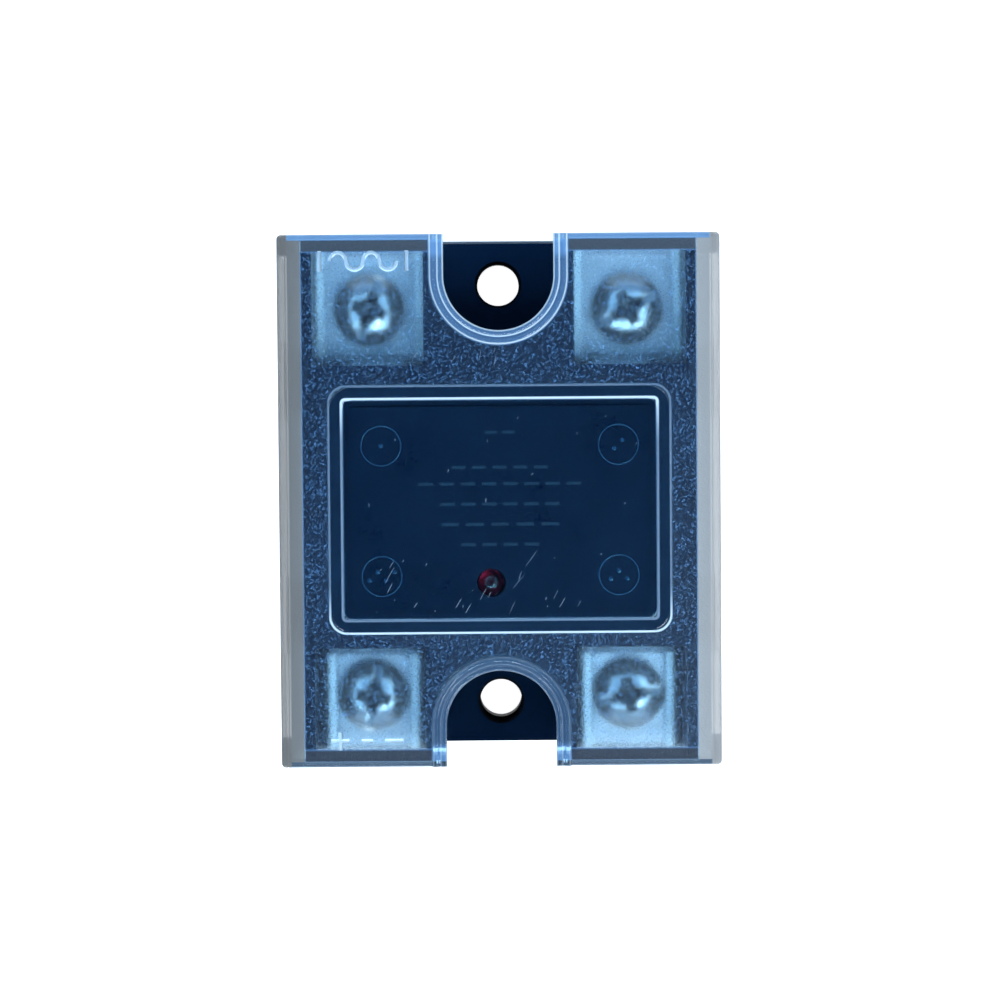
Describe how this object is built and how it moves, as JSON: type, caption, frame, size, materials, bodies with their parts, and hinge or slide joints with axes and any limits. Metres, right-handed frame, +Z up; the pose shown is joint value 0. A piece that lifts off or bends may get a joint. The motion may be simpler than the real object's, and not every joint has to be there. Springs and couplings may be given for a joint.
{
  "type": "solid state relay",
  "caption": "Flat panel-mount solid state relay: metal base, potted dark housing, screw terminals with wire clamps and a frosted clip-on cover with a clear window.",
  "frame": {"origin": "centre of the base plate's underside", "axes": "+Z up through the cover, +Y towards the output terminals, +X to the right seen from above"},
  "size_m": [0.0478, 0.058, 0.028],
  "materials": {
    "base_plate": "satin",
    "solder_layer": "satin",
    "ceramic_substrate": "satin",
    "copper_pads": "satin",
    "thyristor_chips": "gloss",
    "chip_clips": "satin",
    "tinned_wire": "gloss",
    "potting_compound": "satin",
    "housing": "satin",
    "terminal_metal": "satin",
    "nut_metal": "satin",
    "control_board": "satin",
    "optocoupler": "satin",
    "input_resistor": "satin",
    "input_diode": "satin",
    "drive_transistor": "satin",
    "gate_resistor": "satin",
    "snubber_resistor": "satin",
    "snubber_capacitor": "satin",
    "surge_absorber": "satin",
    "indicator_led": "gloss",
    "clamp_metal": "satin",
    "screw_metal": "gloss",
    "cover": "frosted"
  },
  "bodies": {
    "root": {"base_plate": "base_plate", "solder_layer": "solder_layer", "ceramic_substrate": "ceramic_substrate", "copper_pads": "copper_pads", "thyristor_chips": "thyristor_chips", "chip_clips": "chip_clips", "gate_pins": "tinned_wire", "potting_compound": "potting_compound", "housing": "housing", "output_terminal_1": "terminal_metal", "output_terminal_2": "terminal_metal", "input_terminal_3": "terminal_metal", "input_terminal_4": "terminal_metal", "captive_nuts": "nut_metal", "control_board": "control_board", "optocoupler": "optocoupler", "input_resistor": "input_resistor", "input_diode": "input_diode", "drive_transistor": "drive_transistor", "gate_resistor": "gate_resistor", "snubber_resistor": "snubber_resistor", "snubber_capacitor": "snubber_capacitor", "surge_absorber": "surge_absorber", "indicator_led": "indicator_led", "led_leads": "tinned_wire"},
    "cover": {"cover": "cover"},
    "clamp_1": {"wire_clamp_1": "clamp_metal"},
    "screw_1": {"terminal_screw_1": "screw_metal"},
    "clamp_2": {"wire_clamp_2": "clamp_metal"},
    "screw_2": {"terminal_screw_2": "screw_metal"},
    "clamp_3": {"wire_clamp_3": "clamp_metal"},
    "screw_3": {"terminal_screw_3": "screw_metal"},
    "clamp_4": {"wire_clamp_4": "clamp_metal"},
    "screw_4": {"terminal_screw_4": "screw_metal"}
  },
  "joints": [
    {"name": "cover_lift", "type": "slide", "parent": "root", "child": "cover", "axis": [0, 0, 1], "range_m": [0, 0.024]},
    {"name": "clamp_1_rise", "type": "slide", "parent": "root", "child": "clamp_1", "axis": [0, 0, 1], "range_m": [0, 0.0035]},
    {"name": "screw_1_turn", "type": "hinge", "parent": "clamp_1", "child": "screw_1", "pos_m": [-0.0142, 0.0208, 0.0196], "axis": [0, 0, 1], "range_deg": [0, 1805]},
    {"name": "clamp_2_rise", "type": "slide", "parent": "root", "child": "clamp_2", "axis": [0, 0, 1], "range_m": [0, 0.0035]},
    {"name": "screw_2_turn", "type": "hinge", "parent": "clamp_2", "child": "screw_2", "pos_m": [0.0142, 0.0208, 0.0196], "axis": [0, 0, 1], "range_deg": [0, 1805]},
    {"name": "clamp_3_rise", "type": "slide", "parent": "root", "child": "clamp_3", "axis": [0, 0, 1], "range_m": [0, 0.0035]},
    {"name": "screw_3_turn", "type": "hinge", "parent": "clamp_3", "child": "screw_3", "pos_m": [0.0141, -0.0218, 0.0196], "axis": [0, 0, 1], "range_deg": [0, 1805]},
    {"name": "clamp_4_rise", "type": "slide", "parent": "root", "child": "clamp_4", "axis": [0, 0, 1], "range_m": [0, 0.0035]},
    {"name": "screw_4_turn", "type": "hinge", "parent": "clamp_4", "child": "screw_4", "pos_m": [-0.0141, -0.0218, 0.0196], "axis": [0, 0, 1], "range_deg": [0, 1805]}
  ],
  "couplings": [
    {"joint": "screw_1_turn", "follows": "clamp_1_rise", "rad_per_m": 8976},
    {"joint": "screw_2_turn", "follows": "clamp_2_rise", "rad_per_m": 8976},
    {"joint": "screw_3_turn", "follows": "clamp_3_rise", "rad_per_m": 8976},
    {"joint": "screw_4_turn", "follows": "clamp_4_rise", "rad_per_m": 8976}
  ]
}
